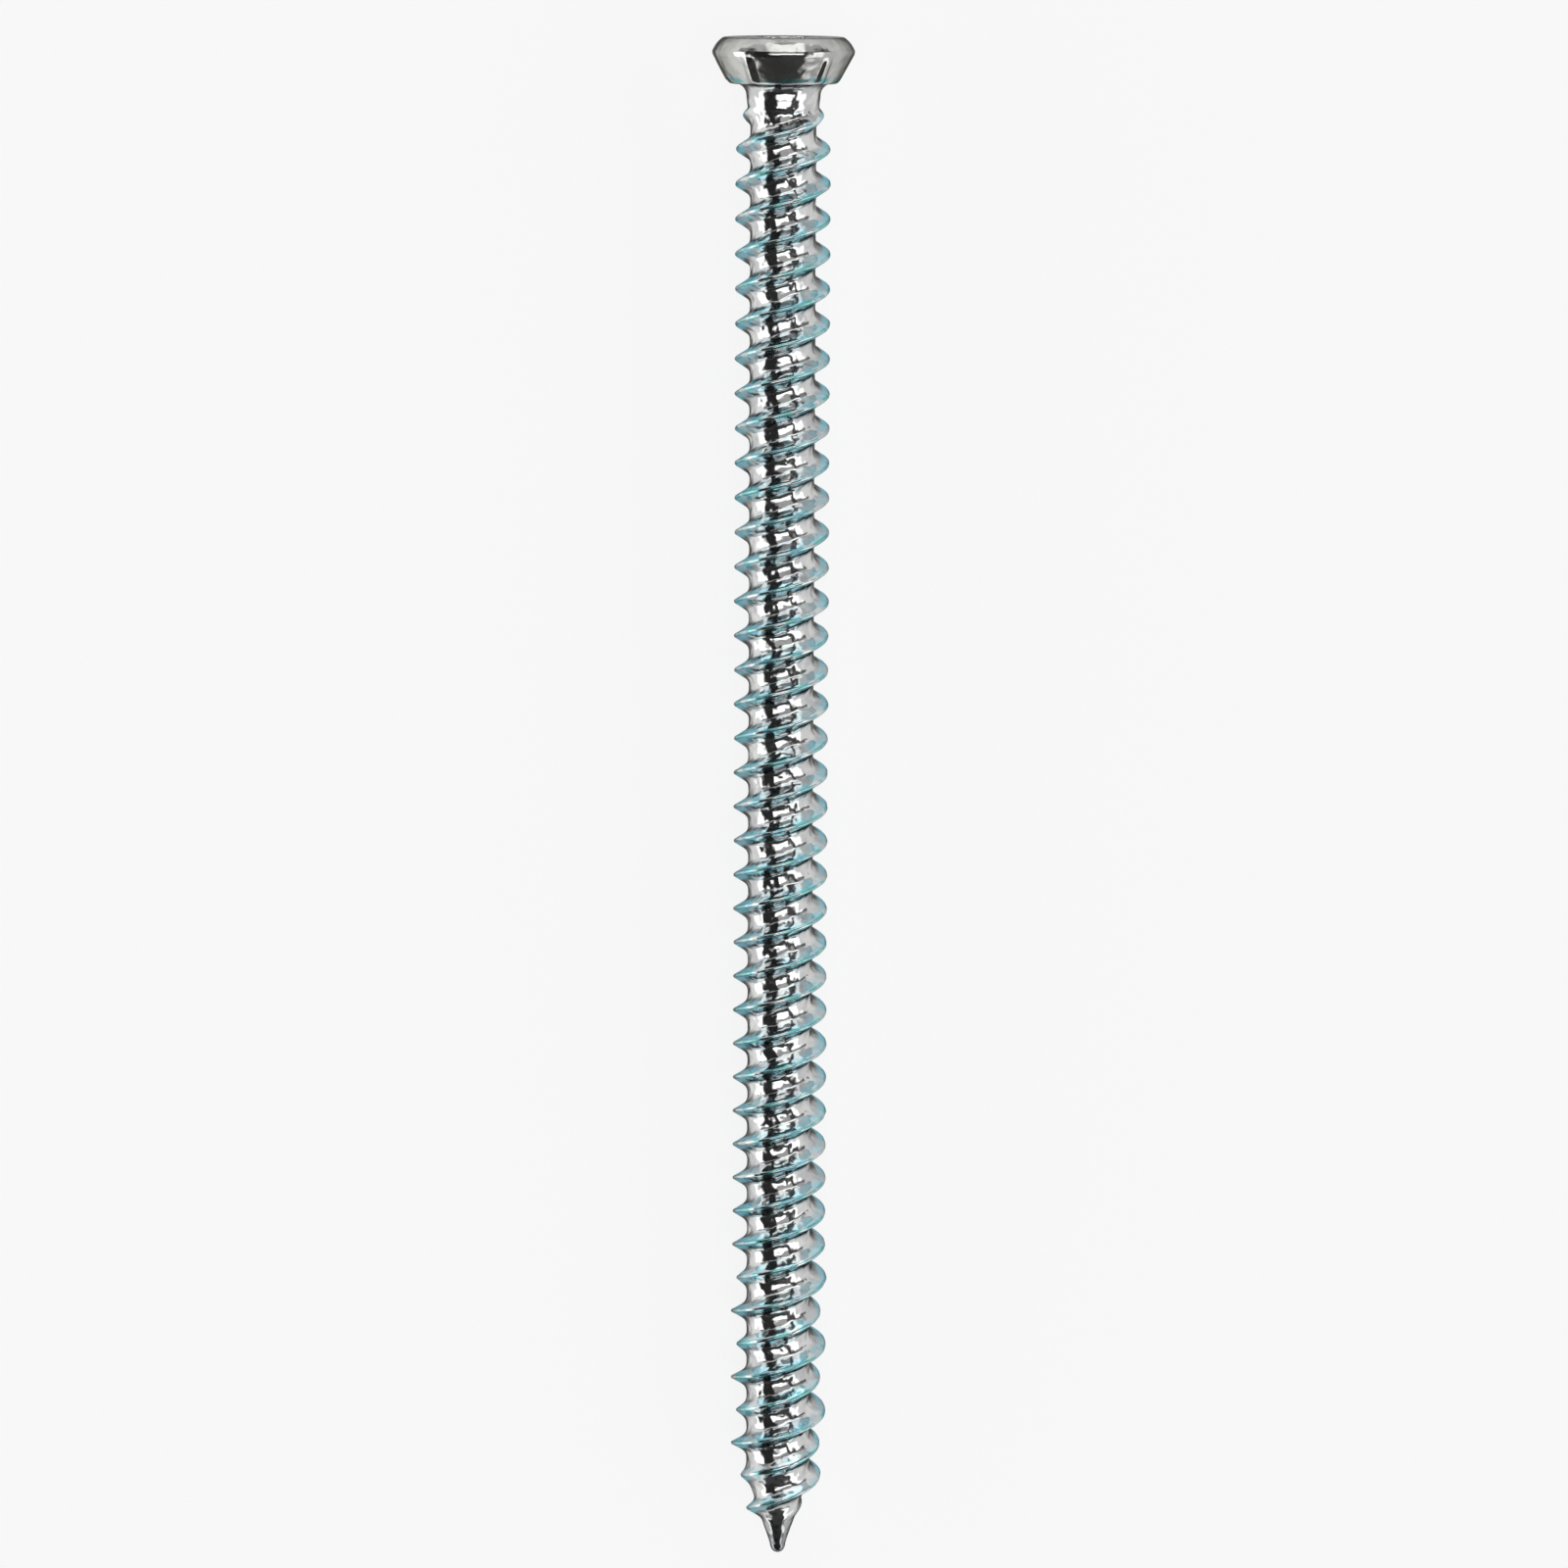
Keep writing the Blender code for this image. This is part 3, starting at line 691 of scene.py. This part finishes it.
    # Ripples of the rolled wire, too low for the mesh: weaker on the head and on the flanks
    ripples = add(tree, NOISE, place, Scale=1 / RIPPLE_SIZE, Detail=0.3, Roughness=0.5)
    rolled = add(tree, RANGE, along, *CALM_NECK, 0.85, 0.35)
    calm = add(tree, RANGE, ridge, *CALM_FLANK, 1.0, 0.55)
    rolled = add(tree, MATH, rolled, calm, operation="MULTIPLY")
    bump = add(tree, "ShaderNodeBump", Strength=rolled, Distance=RIPPLE_HEIGHT, Height=ripples)
    shader = add(tree, "ShaderNodeBsdfPrincipled", colour, 1.0, gloss, Normal=bump,
                 **{"Specular Tint": edge})
    add(tree, "ShaderNodeOutputMaterial", shader)
    return material


def make_floor():
    """A wide pale floor with the screw's soft shadow, near white to the eye and in the bright plate.

    Close beside the screw the plate mirrors less of its glow and more of its real shade: a painted
    shadow, which is a little darker on the right than on the left.
    """
    bm = bmesh.new()
    bmesh.ops.create_grid(bm, x_segments=1, y_segments=1, size=FLOOR_SIZE)
    mesh = bpy.data.meshes.new("studio_floor")
    bm.to_mesh(mesh)
    bm.free()
    floor = object_from(mesh, "studio_floor")
    floor.location.z = -FLOOR_GAP
    material = bpy.data.materials.new("matt_white_paper")
    material.use_nodes = True
    tree = material.node_tree
    tree.nodes.clear()
    paper = add(tree, "ShaderNodeBsdfDiffuse", linear("#F7F7F7"))
    glow = add(tree, "ShaderNodeEmission", linear("#FFFFFF"), 1.0)
    rays = add(tree, "ShaderNodeLightPath").outputs
    seen = add(tree, MATH, rays["Is Camera Ray"], FLOOR_GLOW, operation="MULTIPLY")
    mirrored = add(tree, MATH, rays["Is Glossy Ray"], rays["Is Transmission Ray"], operation="MAXIMUM")
    place = add(tree, "ShaderNodeTexCoord").outputs["Object"]
    across = add(tree, "ShaderNodeSeparateXYZ", place).outputs["X"]
    # Painted shadow in the plate's mirror: the floor's glow is cut close beside the screw, more on the
    # right
    left_painted_shadow = add(tree, RANGE, across, -SHADED_FLOOR, -CLEAR_FLOOR, 0.18, 1.0)
    right_painted_shadow = add(tree, RANGE, across, SHADED_FLOOR, CLEAR_FLOOR, 0.18, 0.65)
    clear = add(tree, MATH, left_painted_shadow, right_painted_shadow, operation="MAXIMUM")
    share = add(tree, MATH, mirrored, clear, seen, operation="MULTIPLY_ADD")
    add(tree, "ShaderNodeOutputMaterial", add(tree, "ShaderNodeMixShader", share, paper, glow))
    mesh.materials.append(material)
    return floor


def light_tent():
    """Soft light by direction, dark between its panels, which gives the plate its black streaks.

    A panel is a list of soft edges, which are multiplied: the measure of the direction, where the
    edge starts and stops in it, and the brightness before and after. "Across" is the angle from
    straight up towards +X in degrees, and X and Y are the direction's own.
    """
    world = bpy.data.worlds.new("light_tent")
    bpy.context.scene.world = world
    world.use_nodes = True
    tree = world.node_tree
    tree.nodes.clear()
    way = add(tree, "ShaderNodeTexCoord").outputs["Generated"]
    way = add(tree, "ShaderNodeSeparateXYZ", way).outputs
    across = add(tree, MATH, way["X"], way["Z"], operation="ARCTAN2")
    across = add(tree, MATH, across, operation="DEGREES")
    measures = {"Across": across, "X": way["X"], "Y": way["Y"]}

    ends = [("Y", 0.50, 0.30, 0.15, 1.0), ("Y", -0.92, -0.66, 0.08, 1.0)]
    left_bank = [("Across", -58, -68, 0.0, 1.9), *ends]
    right_bank = [("Across", 44, 53, 0.0, 1.9), ("Across", 62, 78, 1.0, 0.45), *ends]
    strip_overhead = [("Across", -25, -15, 0.0, 2.2), ("Across", 32, 24, 0.0, 1.0),
                      ("Y", 0.05, -0.033, 0.20, 1.0), ("Y", -0.45, -0.30, 0.0, 1.0)]
    bank_behind_head = [("X", -0.42, -0.24, 0.45, 1.0), ("X", 0.48, 0.32, 0.35, 1.0),
                        ("Y", 0.62, 0.78, 0.0, 1.6), ("Y", 0.990, 0.965, 0.3, 1.0)]
    dim_sides = [("Across", -5, 5, 0.025, 0.06)]
    dim_foot = [("Y", -0.60, -0.85, 0.0, 0.06)]

    level = 0.0
    for panel in (left_bank, right_bank, strip_overhead, bank_behind_head, dim_sides, dim_foot):
        light = 1.0
        for measure, start, stop, before, after in panel:
            edge = add(tree, RANGE, measures[measure], start, stop, before, after,
                       interpolation_type="SMOOTHSTEP")
            light = add(tree, MATH, light, edge, operation="MULTIPLY")
        level = add(tree, MATH, level, light, operation="MAXIMUM")
    rays = add(tree, "ShaderNodeLightPath").outputs
    strength = add(tree, MIX, rays["Is Camera Ray"], level, 1.0, data_type="FLOAT")
    background = add(tree, "ShaderNodeBackground", linear("#FFFFFF"), strength)
    add(tree, "ShaderNodeOutputWorld", background)


def make_camera():
    data = bpy.data.cameras.new("camera")
    data.lens = CAMERA_LENS
    data.sensor_width = SENSOR
    data.clip_start = CLIP_START
    camera = object_from(data, "camera")
    camera.location = CAMERA_PLACE
    camera.rotation_euler = CAMERA_TURN
    bpy.context.scene.camera = camera


make_camera()
screw = make_screw(zinc_plate())
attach(screw, "root")
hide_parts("screw")
make_floor()
light_tent()
bpy.context.scene.view_settings.view_transform = "Standard"
